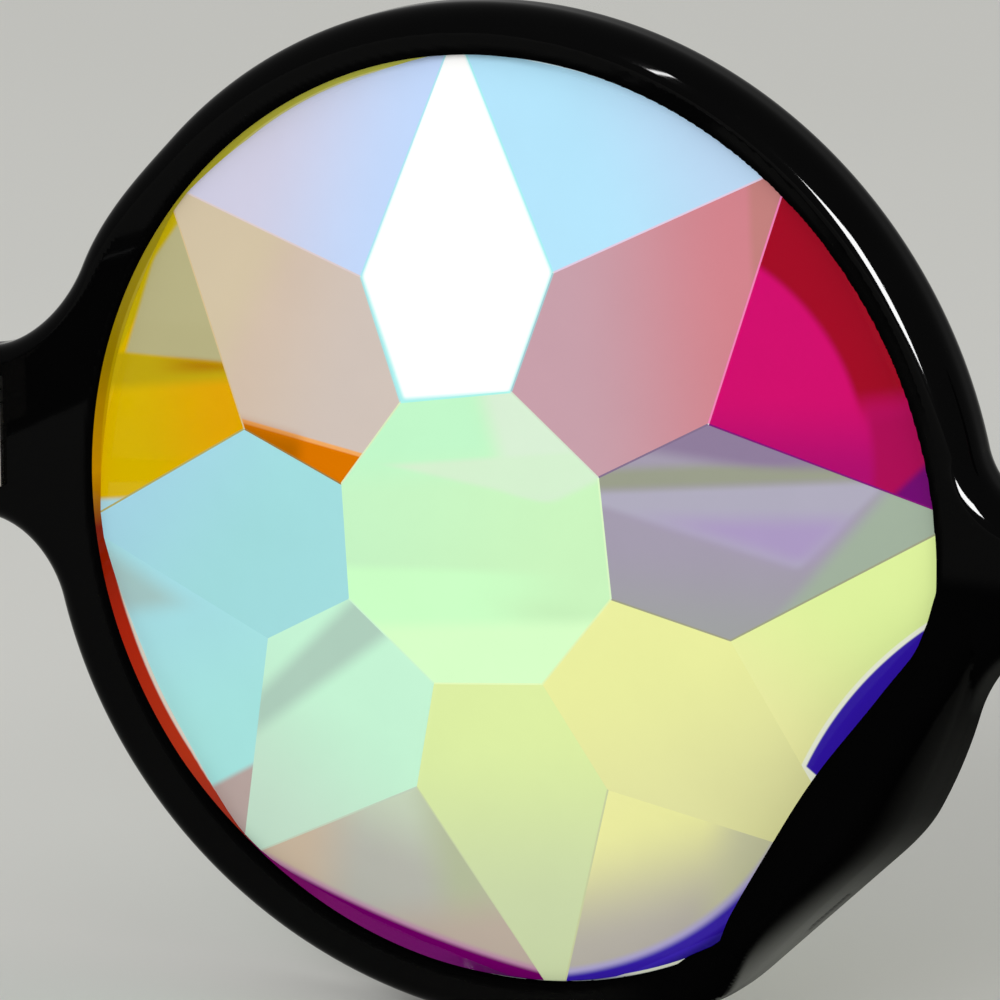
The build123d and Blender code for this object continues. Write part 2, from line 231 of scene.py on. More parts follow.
def make_floor():
    mesh = bpy.data.meshes.new("floor")
    half = floor_size / 2
    corners = [(-half, -half, 0), (half, -half, 0), (half, half, 0), (-half, half, 0)]
    mesh.from_pydata(corners, [], [(0, 1, 2, 3)])
    floor = add_object("floor", mesh)
    material, tree, shader, place = new_material("pale_floor", Roughness=0.6)
    shade = noise(tree, place, 9.0)
    colour = blend_colours(tree, shade, floor_colour, linear("DDDDD8"))
    plug(tree, shader.inputs["Base Color"], colour)
    mesh.materials.append(material)


def make_sky():
    world = bpy.data.worlds.new("studio")
    scene.world = world
    world.use_nodes = True
    tree = world.node_tree
    rays = tree.nodes.new("ShaderNodeLightPath").outputs
    seen = calc(tree, "MAXIMUM", rays["Is Camera Ray"], rays["Is Glossy Ray"])
    seen = calc(tree, "MAXIMUM", seen, rays["Is Transmission Ray"])
    strength = add_node(tree, "ShaderNodeMix", {0: seen, 2: sky_light, 3: sky_seen})
    background = tree.nodes["Background"]
    background.inputs["Color"].default_value = (1.0, 1.0, 0.985, 1.0)
    plug(tree, background.inputs["Strength"], strength.outputs[0])


def make_lamp(name, towards, distance, width, height, power, roll=0.0):
    """A flat lamp in some direction from the left lens, which it faces, rolled by some degrees."""
    data = bpy.data.lights.new(name, "AREA")
    data.shape = "RECTANGLE"
    data.size = width
    data.size_y = height
    data.energy = power
    lamp = add_object(name, data)
    towards = Vector(towards).normalized()
    lamp.location = Vector((lens_x, girdle_y, lens_z)) + towards * distance
    lamp.rotation_mode = "QUATERNION"
    turn = (-towards).to_track_quat("-Z", "Y")
    lamp.rotation_quaternion = turn @ Quaternion((0, 0, 1), math.radians(roll))
    return lamp


make_floor()
make_sky()
broad = make_lamp("broad_lamp", (0.1, 1.0, 0.4), 0.9, 0.7, 0.7, 5.0)
broad.visible_glossy = False
streak = make_lamp("streak_lamp", (-0.14, 0.965, 0.2), 0.9, 0.17, 0.26, 34.0)
dash = make_lamp("dash_lamp", (0.175, 0.85, 0.495), 0.9, 0.015, 0.28, 3.0, -19.5)
plastic_pieces = bpy.data.collections.new("plastic_pieces")
for lamp in (streak, dash):
    lamp.visible_diffuse = False
    lamp.light_linking.receiver_collection = plastic_pieces
scene.view_settings.view_transform = "Standard"

# %% [markdown]
# The front is one moulding: rims, bridge, nose pads and endpieces run into each other with
# soft fillets and no seams. Patches of mesh are hard to join so smoothly. So the shape is
# first written as a distance: a function that is negative inside the plastic and positive
# outside. Two distances join with a fillet by one line of arithmetic, and a grid of
# samples is then turned into a mesh, one point to each cell that the surface crosses.


# %% Helpers for distances
def rounded_union(a, b, radius):
    """Two shapes as one, with a fillet in the corner between them."""
    inner = np.hypot(np.maximum(radius - a, 0), np.maximum(radius - b, 0))
    return np.maximum(radius, np.minimum(a, b)) - inner


def rounded_overlap(a, b, radius):
    """What two shapes share, with a rounded edge where they cross."""
    outer = np.hypot(np.maximum(radius + a, 0), np.maximum(radius + b, 0))
    return np.minimum(-radius, np.maximum(a, b)) + outer


def soft_overlap(a, b, width):
    """What two shapes share, where they cross at a shallow angle."""
    near = np.maximum(width - np.abs(a - b), 0) / width
    return np.maximum(a, b) + near * near * width / 4


def smooth_step(value, start, end):
    share = np.clip((value - start) / (end - start), 0, 1)
    return share * share * (3 - 2 * share)


def curve_through(table, column, place):
    """A smooth curve through the rows of a table, whose first column is the place."""
    table = np.array(table)
    places, values = table[:, 0], table[:, column]
    slopes = np.gradient(values, places)
    i = np.clip(np.searchsorted(places, place) - 1, 0, len(places) - 2)
    gap = places[i + 1] - places[i]
    t = np.clip((place - places[i]) / gap, 0, 1)
    rise = values[i + 1] - values[i]
    bend = (1 - t) * (slopes[i] * gap - rise) - t * (slopes[i + 1] * gap - rise)
    return values[i] + t * rise + t * (1 - t) * bend


def polygonise(distance, low, high, step):
    """The surface where a distance is zero, as points, faces and normals."""
    counts = [math.ceil((b - a) / step) + 1 for a, b in zip(low, high)]
    axes = [a + step * np.arange(n) for a, n in zip(low, counts)]
    grid = np.stack(np.meshgrid(*axes, indexing="ij"), -1)
    field = distance(grid)
    cells = tuple(n - 1 for n in counts)
    total = np.zeros(cells + (3,))
    hits = np.zeros(cells)
    crossings = []
    for axis in range(3):
        others = [(axis + 1) % 3, (axis + 2) % 3]
        near, far = [slice(None)] * 3, [slice(None)] * 3
        near[axis], far[axis] = slice(0, -1), slice(1, None)
        first, last = field[tuple(near)], field[tuple(far)]
        crossed = (first < 0) != (last < 0)
        share = np.where(crossed, first / np.where(crossed, first - last, 1), 0)
        point = grid[tuple(near)] * crossed[..., None]
        point[..., axis] += share * step
        for i in (0, 1):
            for j in (0, 1):
                cut = [slice(None)] * 3
                cut[others[0]] = slice(i, counts[others[0]] - 1 + i)
                cut[others[1]] = slice(j, counts[others[1]] - 1 + j)
                total += point[tuple(cut)]
                hits += crossed[tuple(cut)]
        crossings.append((axis, others, np.argwhere(crossed), first[crossed] < 0))
    used = hits > 0
    index = np.full(cells, -1)
    index[used] = np.arange(used.sum())
    points = total[used] / hits[used][:, None]
    faces = []
    for axis, others, edges, outwards in crossings:
        ring = []
        for i, j in ((1, 1), (0, 1), (0, 0), (1, 0)):
            cell = edges.copy()
            cell[:, others[0]] -= i
            cell[:, others[1]] -= j
            ring.append(cell)
        inside = np.all([(c >= 0).all(1) & (c < cells).all(1) for c in ring], axis=0)
        quad = np.stack([index[tuple(c[inside].T)] for c in ring], 1)
        quad[~outwards[inside]] = quad[~outwards[inside]][:, ::-1]
        faces.append(quad)
    for _ in range(4):
        slope = slope_of(distance, points)
        move = distance(points) / (slope**2).sum(1)
        points -= np.clip(move, -step / 2, step / 2)[:, None] * slope
    normals = slope_of(distance, points)
    normals /= np.linalg.norm(normals, axis=1)[:, None]
    return points, np.concatenate(faces), normals


def slope_of(distance, points, reach=0.01 * mm):
    """Which way a distance grows, from samples on both sides of each point."""
    slopes = []
    for axis in range(3):
        shift = np.zeros(3)
        shift[axis] = reach
        slopes.append((distance(points + shift) - distance(points - shift)) / (2 * reach))
    return np.stack(slopes, -1)


def make_piece(name, points, faces, material, normals=None, mirrored=False):
    """A mesh object at the origin. A mirrored one is flipped to the other side of x = 0."""
    points = np.array(points, float)
    faces = [tuple(f) for f in faces]
    if mirrored:
        points = points * (-1, 1, 1)
        faces = [f[::-1] for f in faces]
        normals = None if normals is None else normals * (-1, 1, 1)
    mesh = bpy.data.meshes.new(name)
    mesh.from_pydata(points.tolist(), [], faces)
    mesh.polygons.foreach_set("use_smooth", [True] * len(mesh.polygons))
    if normals is not None:
        mesh.normals_split_custom_set_from_vertices(normals.tolist())
    mesh.materials.append(material)
    mesh.update()
    piece = add_object(name, mesh)
    print(name, len(points), "points", len(faces), "faces")
    return piece


# %% [markdown]
# The plastic is deep black and polished, but it isn't a mirror: the mould leaves a faint
# ripple, and handling leaves hairline scratches. The nose side of the pads is rubbed satin
# by the nose, so it is rougher, and a pale grey sheen is painted on it. The lips and pads
# are duller.

# %% Black plastic
def make_black_plastic():
    """Deep black with a polish, rubbed to satin with a painted grey sheen where the mesh says so."""
    material, tree, shader, place = new_material("black_plastic")
    satin_and_sheen = read_attribute(tree, "satin_and_sheen", "Fac")
    polish = calc(tree, "SUBTRACT", 1.0, read_attribute(tree, "dull", "Fac"))
    cloud = noise(tree, place, 160.0, 3.0)
    tint = blend_colours(tree, cloud, (0.0008, 0.0008, 0.0009, 1.0), (0.0014, 0.0014, 0.0014, 1.0))
    # The pads' nose side is painted a pale grey sheen.
    tint = blend_colours(tree, satin_and_sheen, tint, (0.22, 0.224, 0.212, 1.0))
    plug(tree, shader.inputs["Base Color"], tint)
    plug(tree, shader.inputs["Specular IOR Level"], calc(tree, "MULTIPLY", polish, 0.05))
    rough = calc(tree, "MULTIPLY_ADD", cloud, 0.03, 0.03)
    rough = calc(tree, "MULTIPLY_ADD", satin_and_sheen, 0.4, rough)
    scratches = noise(tree, place, 900.0, 1.0, (1.0, 6.0, 0.15))
    fine = calc(tree, "GREATER_THAN", scratches, 0.76)
    rough = calc(tree, "MULTIPLY_ADD", fine, 0.06, rough)
    plug(tree, shader.inputs["Roughness"], rough)
    add_bump(tree, shader, noise(tree, place, 420.0, 2.0), 0.002 * mm)
    return material


black_plastic = make_black_plastic()

# %% Sizes of the front
flank_angle = math.radians(-45.8)
flank_cut = 0.85 * mm
front_cell = 0.22 * mm
rim_depth = 3.6 * mm
back_edges = (1.3 * mm, 0.3 * mm)
blunt_angle = math.radians(-150.0)
front_edge = 1.5 * mm
lip_edge = 0.15 * mm
flank_blend = 0.4 * mm
bridge_height = 6.0 * mm
bridge_rise = 0.8 * mm
bridge_fillets = (3.0 * mm, 4.0 * mm)
endpiece_height = 8.6 * mm
endpiece_sag = 0.4 * mm
endpiece_fillets = (4.8 * mm, 3.6 * mm)
sag_start = 2.0 * mm
sag_stop = 0.5 * mm
side_swell = 0.55 * mm
swell_above = np.radians((137, 156))
swell_below = np.radians((95, 165))
arm_edge = 1.0 * mm
leg_blend = 0.3 * mm
rivet_sink = 0.15 * mm
sink_start = 1.2 * mm
sink_end = 2.4 * mm
back_y = front_y + rim_depth
groove_clearance = 0.05 * mm
groove_half = (girdle_y - glass_front_y) / 2 + groove_clearance
groove_radius = glass_radius + groove_clearance

# %% Sizes of the nose pads
pad_start = math.radians(-1.0)
pad_end = math.radians(-66.0)
pad_height = 4.7 * mm
pad_overhang = 2.5 * mm
pad_foot = opening_radius + 0.2 * mm
pad_draft = 0.22
pad_draft_depth = 0.9 * mm
pad_draft_soft = 0.8 * mm
pad_floor = 0.8 * mm
pad_sink = 0.5 * mm
pad_bury = 0.15 * mm
pad_blend = 1.1 * mm
least_blend_share = 0.02
blend_zone = (0.2 * mm, 1.4 * mm)
least_fin = 0.05 * mm
fin_blend = 0.5 * mm
foot_sink = 2.6 * mm
crest_edge = 0.8 * mm
pad_round_share = 0.42
pad_fade = math.radians(6.0)
pad_retreat = 2.5 * mm
# How far along the pad a place is, then its height and its overhang
pad_shares = [
    (0.0, -0.3, 0.0),
    (0.07, 0.0, 0.1),
    (0.2, 0.6, 0.55),
    (0.38, 0.96, 1.0),
    (0.6, 1.0, 0.95),
    (0.78, 0.7, 0.55),
    (0.92, 0.14, 0.0),
    (1.0, -0.1, -0.1),
]


# %% The shape of the front
def flat_box(across, half_across, up, half_up, radius):
    """A rectangle with rounded corners, as a distance in its own plane."""
    x = np.abs(across) - half_across + radius
    z = np.abs(up) - half_up + radius
    return np.hypot(np.maximum(x, 0), np.maximum(z, 0)) + np.minimum(np.maximum(x, z), 0) - radius


def thick(outline, depth, radius):
    """An outline given a thickness, with its edges rounded: depth is negative inside."""
    x, y = outline + radius, depth + radius
    return np.hypot(np.maximum(x, 0), np.maximum(y, 0)) + np.minimum(np.maximum(x, y), 0) - radius


def pad_distance(ring, wall, angle, y):
    """A nose pad: a rounded fin on a foot, which rises, leans over the glass and falls."""
    along = np.clip((angle - pad_start) / (pad_end - pad_start), 0, 1)
    height = curve_through(pad_shares, 1, along)
    lean = curve_through(pad_shares, 2, along)
    inner = pad_foot - pad_overhang * lean
    bottom = back_y - pad_sink + (pad_sink + pad_floor) * lean
    top = back_y - pad_bury + (pad_height + pad_bury) * height
    rise = y - back_y + pad_draft_depth
    outside = wall + pad_draft * (np.hypot(rise, pad_draft_soft) + rise) / 2
    half_height = np.maximum((top - bottom) / 2, least_fin)
    radius = 2 * pad_round_share * np.minimum((rim_radius - inner) / 2, half_height)
    fin = thick(inner - ring, np.abs(y - (top + bottom) / 2) - half_height, radius)
    fin = rounded_overlap(fin, outside, crest_edge)
    bottom = back_y - foot_sink
    half_height = (top - bottom) / 2
    across = np.maximum(pad_foot - ring, outside)
    foot = thick(across, np.abs(y - (top + bottom) / 2) - half_height, crest_edge)
    return rounded_union(fin, foot, fin_blend)


def front_distance(p):
    """The whole front, from a point's distance to the rims, bridge, pads and endpieces."""
    x, y, z = np.abs(p[..., 0]), p[..., 1], p[..., 2]
    out, up = x - lens_x, z - lens_z
    ring = np.hypot(out, up)
    angle = np.arctan2(up, -out)
    flank = -out * math.cos(flank_angle) + up * math.sin(flank_angle)
    flank = flank - rim_radius + flank_cut
    swell = np.where(up > 0, smooth_step(angle, *swell_above), smooth_step(-angle, *swell_below))
    wall = soft_overlap(ring - rim_radius - side_swell * swell, flank, flank_blend)
    outline = wall
    bridge_reach = lens_x - (rim_radius + opening_radius) / 2
    arch = lens_z + bridge_rise * (1 - (x / bridge_reach) ** 2)
    bridge = np.maximum(np.abs(z - arch) - bridge_height / 2, x - bridge_reach)
    outline = rounded_union(outline, bridge, np.where(up > 0, *bridge_fillets))
    length = side_x - lens_x
    beyond = lens_x + rim_radius
    centre = x - lens_x - length / 2
    sag = endpiece_sag * (1 - smooth_step(x, beyond + sag_start, side_x - sag_stop))
    block = flat_box(centre, length / 2, z - hinge_z + sag, endpiece_height / 2, arm_edge)
    outline = rounded_union(outline, block, np.where(z > hinge_z, *endpiece_fillets))
    middle = front_y + rim_depth / 2
    sink = rivet_sink * smooth_step(x, beyond + sink_start, beyond + sink_end)
    depth = np.where(y > middle, y - back_y, front_y + sink - y)
    back_edge = back_edges[0] - back_edges[1] * np.cos(angle - blunt_angle)
    body = thick(outline, depth, np.where(y > middle, back_edge, front_edge))
    body = rounded_overlap(body, opening_radius - ring, lip_edge)
    outside = smooth_step(angle, pad_start - pad_fade / 3, pad_start + pad_fade)
    outside = np.maximum(outside, smooth_step(-angle, -pad_end - pad_fade / 3, pad_fade - pad_end))
    pad = pad_distance(ring, wall, angle, y) + pad_retreat * outside
    blend = least_blend_share + (1 - least_blend_share) * smooth_step(-wall, *blend_zone)
    body = rounded_union(body, pad, pad_blend * blend)
    across, half_across = x - (arm_x + side_x) / 2, (side_x - arm_x) / 2
    leg = flat_box(across, half_across, z - hinge_z, endpiece_height / 2, arm_edge)
    leg_middle = (front_y + front_edge + hinge_y) / 2
    leg = thick(leg, np.abs(y - leg_middle) - (hinge_y - leg_middle), leg_blend)
    body = np.minimum(body, leg)
    groove = np.maximum(ring - groove_radius, np.abs(y - (girdle_y + glass_front_y) / 2) - groove_half)
    return np.maximum(body, -groove)


# %% Worn places and the painted sheen
satin_and_sheen_facing = (0.72, 1.0)
satin_and_sheen_ring = (22.0 * mm, 22.5 * mm)
satin_and_sheen_top = 4.6 * mm
satin_and_sheen_full = 0.6 * mm
satin_and_sheen_front = (0.5 * mm, 1.3 * mm)
satin_and_sheen_turns = ((-72, -57), (-2, 6))
satin_and_sheen_least_share = 0.12
satin_and_sheen_grows = (25, 54)
dull_lip = (0.5 * mm, 0.25 * mm)
dull_turns = ((-1.5, 1.0), (-80, -68))
dull_ring = (28.0 * mm, 27.0 * mm)


def satin_and_sheen_share(points, normals):
    """How satin the plastic is, and how much painted sheen it has: the pads' nose side, from their top
    end to their foot.
    """
    across, up = lens_x - np.abs(points[:, 0]), points[:, 2] - lens_z
    ring = np.hypot(across, up)
    facing = -np.sign(points[:, 0]) * normals[:, 0] * math.cos(flank_angle)
    facing += normals[:, 2] * math.sin(flank_angle)
    share = smooth_step(facing, *satin_and_sheen_facing) * smooth_step(ring, *satin_and_sheen_ring)
    share *= smooth_step(-points[:, 1], -back_y - satin_and_sheen_top, satin_and_sheen_full - back_y)
    share *= smooth_step(points[:, 1], front_y + satin_and_sheen_front[0], front_y + satin_and_sheen_front[1])
    turn = np.degrees(np.arctan2(up, across))
    share *= smooth_step(turn, *satin_and_sheen_turns[0]) * smooth_step(-turn, *satin_and_sheen_turns[1])
    growth = smooth_step(-turn, *satin_and_sheen_grows)
    return share * (satin_and_sheen_least_share + (1 - satin_and_sheen_least_share) * growth)


def dull_share(points):
    """How dull the plastic is: worn round the pads, and on the lip as the cutter left it."""
    across, up = lens_x - np.abs(points[:, 0]), points[:, 2] - lens_z
    ring = np.hypot(across, up)
    lip = smooth_step(-ring, -opening_radius - dull_lip[0], -opening_radius - dull_lip[1])
    turn = np.degrees(np.arctan2(up, across))
    worn = smooth_step(-turn, *dull_turns[0]) * smooth_step(turn, *dull_turns[1])
    worn *= smooth_step(-ring, -dull_ring[0], -dull_ring[1])
    return np.maximum(lip, worn)


# %% Make the front
margin = 2 * front_cell
low = front_low - Vector((margin,) * 3)
high = front_high + Vector((margin,) * 3)
points, faces, normals = polygonise(front_distance, low, high, front_cell)
front = make_piece("front_moulding", points, faces, black_plastic, normals)
plastic_pieces.objects.link(front)
# The satin with its painted sheen, and the dull places, go on the mesh's points.
satin_and_sheen = front.data.attributes.new("satin_and_sheen", "FLOAT", "POINT")
satin_and_sheen.data.foreach_set("value", satin_and_sheen_share(points, normals))
dull = front.data.attributes.new("dull", "FLOAT", "POINT")
dull.data.foreach_set("value", dull_share(points))
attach(front, "front")
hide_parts("front_frame")

# %% [markdown]
# A temple is a flat bar of the same black plastic over a core wire. Seen from the side it
# tapers, bends down behind the ear and ends in a round tip. Its distance is measured from
# that bent centreline, so one short function gives the bar, the bend and the tip together.

# %% Sizes of a temple
temple_cell = 0.36 * mm
temple_half = temple_high.z - hinge_z
slim_half = 2.5 * mm
taper_length = 62.0 * mm
taper_blend = 0.2 * mm
bend_start = 95.0 * mm
bend_radius = 22.0 * mm
bend_angle = math.radians(42.0)
tip_radius = 3.1 * mm
end_edge = 0.3 * mm
inner_inset = 0.12 * mm
rivet_zone = (11.0 * mm, 15.0 * mm)
bend_y = temple_y + bend_start
bend_z = hinge_z - bend_radius
bend_run = bend_radius * math.sin(bend_angle)
tip_straight = (temple_high.y - tip_radius - bend_y - bend_run) / math.cos(bend_angle)
bend_end = bend_start + bend_radius * bend_angle
tip_centre = bend_end + tip_straight
print("temple", round(tip_centre / mm, 1), "mm along its centreline")


# %% The shape of a temple
def temple_distance(p):
    """The left temple, from how far along its bent centreline a point is and how far off."""
    x, y, z = p[..., 0], p[..., 1] - bend_y, p[..., 2] - bend_z
    turn = np.arctan2(y, z)
    cosine, sine = math.cos(bend_angle), math.sin(bend_angle)
    zones = [turn < 0, turn > bend_angle]
    tip_along = bend_end + y * cosine - z * sine
    along = np.select(zones, [bend_start + y, tip_along], bend_start + bend_radius * turn)
    off = np.select(zones, [z, y * sine + z * cosine], np.hypot(y, z)) - bend_radius
    half = temple_half + (slim_half - temple_half) * along / taper_length
    half = soft_overlap(half, slim_half, taper_blend)
    half = half + (tip_radius - slim_half) * smooth_step(along, bend_end, tip_centre)
    end = np.hypot(along - tip_centre, off) - tip_radius
    outline = np.where(along > tip_centre, end, np.abs(off) - half)
    outline = rounded_overlap(outline, -along, end_edge)
    sink = rivet_sink * (1 - smooth_step(along, *rivet_zone))
    depth = np.maximum(arm_x + inner_inset - x, x - side_x + sink)
    return thick(outline, depth, arm_edge)


# %% Make the temples
margin = 2 * temple_cell
low = temple_low - Vector((margin,) * 3)
high = temple_high + Vector((margin,) * 3)
points, faces, normals = polygonise(temple_distance, low, high, temple_cell)
for side in ("left", "right"):
    temple = make_piece(f"temple_bar_{side}", points, faces, black_plastic, normals, side == "right")
    plastic_pieces.objects.link(temple)
    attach(temple, f"temple_arm_{side}")
    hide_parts(f"temple_{side}")

# %% [markdown]
# Each lens is one thick piece of glass with a flat front. Its back is cut like a gem: an
# eight-sided table, eight kites round it, and eight outer facets down to the rim. All
# facets are flat, so they are written as polygons. Places on a lens are given across
# towards the bridge, up, and back from the girdle, where the crown meets the disc.

# %% Sizes of a lens
facet_count = 8
facet_twist = math.radians(6.8)
crown_gap = 0.05 * mm
crown_radius = opening_radius - crown_gap
crown_height = table_y - girdle_y
disc_depth = girdle_y - glass_front_y
table_radius = 7.75 * mm
wide_radius = 13.72 * mm
facet_bevel = 0.045 * mm
weld_reach = 0.001 * mm
arc_steps = 5
# The cutter's hand: corners of the table that are off the regular figure, in mm
table_shifts = {2: (-0.1, -0.45), 3: (0.3, -0.2)}
half_step = math.pi / facet_count
chord = glass_radius * math.cos(half_step)
wide_reach = glass_radius - wide_radius * math.cos(half_step)
wide_height = crown_height * wide_reach / (glass_radius - table_radius * math.cos(half_step))
print("wide corners of the kites are", round(wide_height / mm, 2), "mm up")


# %% The facets of a lens
def round_lens(radius, angle, height=0.0):
    return Vector((radius * math.cos(angle), radius * math.sin(angle), height))


def at_rim(inner, tip):
    """Where a kite's long edge, from a wide corner to its tip, leaves the round crown."""
    start, run = inner.xy, (tip - inner).xy
    a, b, c = run.dot(run), 2 * start.dot(run), start.dot(start) - crown_radius**2
    return inner.lerp(tip, (-b + math.sqrt(b * b - 4 * a * c)) / (2 * a))


def along_rim(start, end, angle):
    """Points on the crown's edge between two others, for the outer facet at an angle."""
    span = math.acos(chord / crown_radius)
    first = math.atan2(start.y, start.x)
    last = first + (math.atan2(end.y, end.x) - first) % (2 * math.pi)
    middle = first + (angle - first) % (2 * math.pi)
    parts = [(first, middle - span), (middle - span, middle + span), (middle + span, last)]
    rows = []
    for low_angle, high_angle in parts:
        row = []
        for i in range(arc_steps + 1):
            turn = low_angle + (high_angle - low_angle) * i / arc_steps
            reach = crown_radius * math.cos(turn - middle)
            height = wide_height * (chord - reach) / (chord - wide_radius)
            row.append(round_lens(crown_radius, turn, max(height, 0.0)))
        rows.append(row)
    rows[0][0], rows[2][-1] = start, end
    return rows


def crown_facets():
    """Every facet as its number and its corners, and the points round the crown's edge."""
    turns = [facet_twist + 2 * half_step * i for i in range(facet_count)]
    tips = [round_lens(glass_radius, t) for t in turns]
    wides = [round_lens(wide_radius, t + half_step, wide_height) for t in turns]
    corners = [round_lens(table_radius, t + half_step, crown_height) for t in turns]
    for i, (across, up) in table_shifts.items():
        corners[i] += Vector((across, up, 0)) * mm
    tip_height = crown_height * (glass_radius - crown_radius)
    tip_height /= glass_radius - table_radius * math.cos(half_step)
    facets, edge = [(0, corners)], []
    for i, turn in enumerate(turns):
        before, after = (i - 1) % facet_count, (i + 1) % facet_count
        low, high = at_rim(wides[before], tips[i]), at_rim(wides[i], tips[i])
        tip = round_lens(crown_radius, turn, tip_height)
        kite = [corners[before], wides[before], low, tip, high, wides[i], corners[i]]
        facets.append((1 + i, kite))
        rows = along_rim(high, at_rim(wides[i], tips[after]), turn + half_step)
        facets.append((1 + facet_count + i, [wides[i], *rows[0], *rows[2]]))
        facets.append((1 + facet_count + i, rows[1]))
        edge += [tip, *rows[0], *rows[1][1:], *rows[2][1:]]
    return facets, edge


def lens_faces():
    """The closed glass: its crown, its wall, the disc behind the lip and its flat front."""
    facets, edge = crown_facets()
    girdle = [Vector((p.x, p.y, 0)) for p in edge]
    wide = [p * (glass_radius / crown_radius) for p in girdle]
    down = Vector((0, 0, -disc_depth))
    rings = [edge, girdle, wide, [p + down for p in wide], [p + down for p in girdle]]
    polygons = list(facets)
    polygons += [(n, [Vector((p.x, p.y, -disc_depth)) for p in f]) for n, f in facets]
    for upper, lower in zip(rings, rings[1:]):
        for i in range(len(edge)):
            j = (i + 1) % len(edge)
            polygons.append((-1, [upper[i], upper[j], lower[j], lower[i]]))
    return polygons


# %% [markdown]
# The crown is coated, so that each facet throws back one colour. These reflected colours are
# painted on the facets as fixed colours, and the cut edges show as thin painted lines of
# reflected light. Every facet carries two colours and the direction in which one runs into
# the other. They are kept on its face, so that one material serves all facets. A real
# coating changes hue with the angle, but these hues are fixed, as the camera sees them.

# %% Facet colours
# Its number, its two colours, and where on the lens the first and the second are reached
facet_colours = [
    (0, "C6F4C6", "CAF4C0", (-6, 4), (5, -2)),
    (1, "A49CB0", "A0A2A4", (12, 1), (12, -4)),
    (2, "C49CA8", "CE808A", (4, 12), (13, 14)),
    (3, "A8ECEC", "A8ECEC", (0, 9), (0, 20)),
    (4, "CEC0B8", "D0BCAA", (-6, 9), (-13, 11)),
    (5, "A6D8EC", "A2DEE2", (-20, 3), (-13, -3)),
    (6, "CAFADC", "C8E6D2", (-8, -8), (-14, -16)),
    (7, "E4F6AA", "D2E0B2", (0, -9), (2, -20)),
    (8, "F0F4A4", "E9E9A8", (7, -5), (10, -14)),
    (9, "D0006C", "AE006C", (15, 8.5), (15, 4.5)),
    (10, "B0E0F8", "B8D4F0", (6, 14), (13, 18)),
    (11, "BED4F8", "CCCAE0", (-5, 15), (-14, 17)),
    (12, "D8B400", "E0A400", (-21, 2), (-14, 4)),
    (13, "AAE4EE", "AAEAE8", (-18, -4), (-14, -12)),
    (14, "D0DEC6", "BEBEB6", (-5, -13), (-6, -18)),
    (15, "F6F6AA", "BEB8B0", (7, -13.5), (9, -19.5)),
    (16, "F4F4AC", "E6FAA4", (14, -9), (19, -1)),
]
wall_colour = ("D8E4DC", "D8E4DC", (0, 0), (1, 0))
# The two facets that a cut edge parts, and the hue of the fine painted reflection along it
cut_lines = {
    (0, 1): "DCF8C8",
    (0, 2): "D2E2CC",
    (0, 3): "A8F0E8",
    (0, 4): "D8ECC0",
    (0, 6): "D0F8D4",
    (0, 7): "E8FCC0",
    (0, 8): "E6F8B8",
    (1, 2): "806C8C",
    (1, 8): "A0A088",
    (1, 9): "800078",
    (1, 16): "A0A488",
    (2, 3): "A0C8D0",
    (2, 9): "F080B8",
    (2, 10): "DCC8E0",
    (3, 4): "A8E0E4",
    (3, 10): "A4E8F0",
    (3, 11): "A8E0F0",
    (4, 5): "A07838",
    (4, 11): "D8C8CC",
    (4, 12): "D4BC90",
    (5, 12): "B0A860",
    (6, 14): "C8D8C4",
    (7, 14): "D0DCB0",
    (7, 15): "D0D8A8",
}


def make_lens(side):
    """The left lens, or its mirror image, with the colours of its facets on its faces."""
    mirror = 1 if side == "left" else -1
    mesh = bpy.data.meshes.new(f"cut_lens_{side}")
    cut = bmesh.new()
    number = cut.faces.layers.float.new("facet")
    first = cut.faces.layers.float_color.new("first_colour")
    second = cut.faces.layers.float_color.new("second_colour")
    run = cut.faces.layers.float_vector.new("colour_run")
    paints = {row[0]: row[1:] for row in facet_colours}
    for facet, corners in lens_faces():
        places = [(mirror * (lens_x - p.x), girdle_y + p.z, lens_z + p.y) for p in corners]
        face = cut.faces.new([cut.verts.new(p) for p in places])
        face[number] = facet
        one, two, start, end = paints.get(facet, wall_colour)
        face[first], face[second] = linear(one), linear(two)
        start, end = Vector(start) * mm, Vector(end) * mm
        way = (end - start) / (end - start).length_squared
        face[run] = (way.x, way.y, -start.dot(way))
    bmesh.ops.remove_doubles(cut, verts=cut.verts, dist=weld_reach)
    bmesh.ops.dissolve_degenerate(cut, edges=cut.edges, dist=weld_reach)
    bmesh.ops.recalc_face_normals(cut, faces=cut.faces)
    sharp = []
    for edge in cut.edges:
        pair = tuple(sorted(round(face[number]) for face in edge.link_faces))
        back = min(v.co.y for v in edge.verts) > girdle_y
        if back and pair in cut_lines:
            sharp.append(edge)
    bmesh.ops.bevel(
        cut, geom=sharp, offset=facet_bevel, segments=1, profile=0.5, affect="EDGES", material=1
    )
    lines = [face for face in cut.faces if face.material_index == 1]
    pairs = []
    for face in lines:
        near = {}
        for edge in face.edges:
            for other in edge.link_faces:
                facet = round(other[number])
                if other.material_index == 0 and facet >= 0:
                    near[facet] = near.get(facet, 0) + edge.calc_length()
        pairs.append(tuple(sorted(sorted(near, key=near.get)[-2:])))
    # The bevels along the cut edges get the hues of their painted reflection lines.
    for face, pair in zip(lines, pairs):
        hue = cut_lines.get(pair, wall_colour[0])
        face[first], face[second] = linear(hue), linear(hue)
        face[number] = -1
        face.material_index = 0
    cut.to_mesh(mesh)
    print(mesh.name, len(cut.verts), "points", len(sharp), "cut edges")
    cut.free()
    return add_object(mesh.name, mesh)
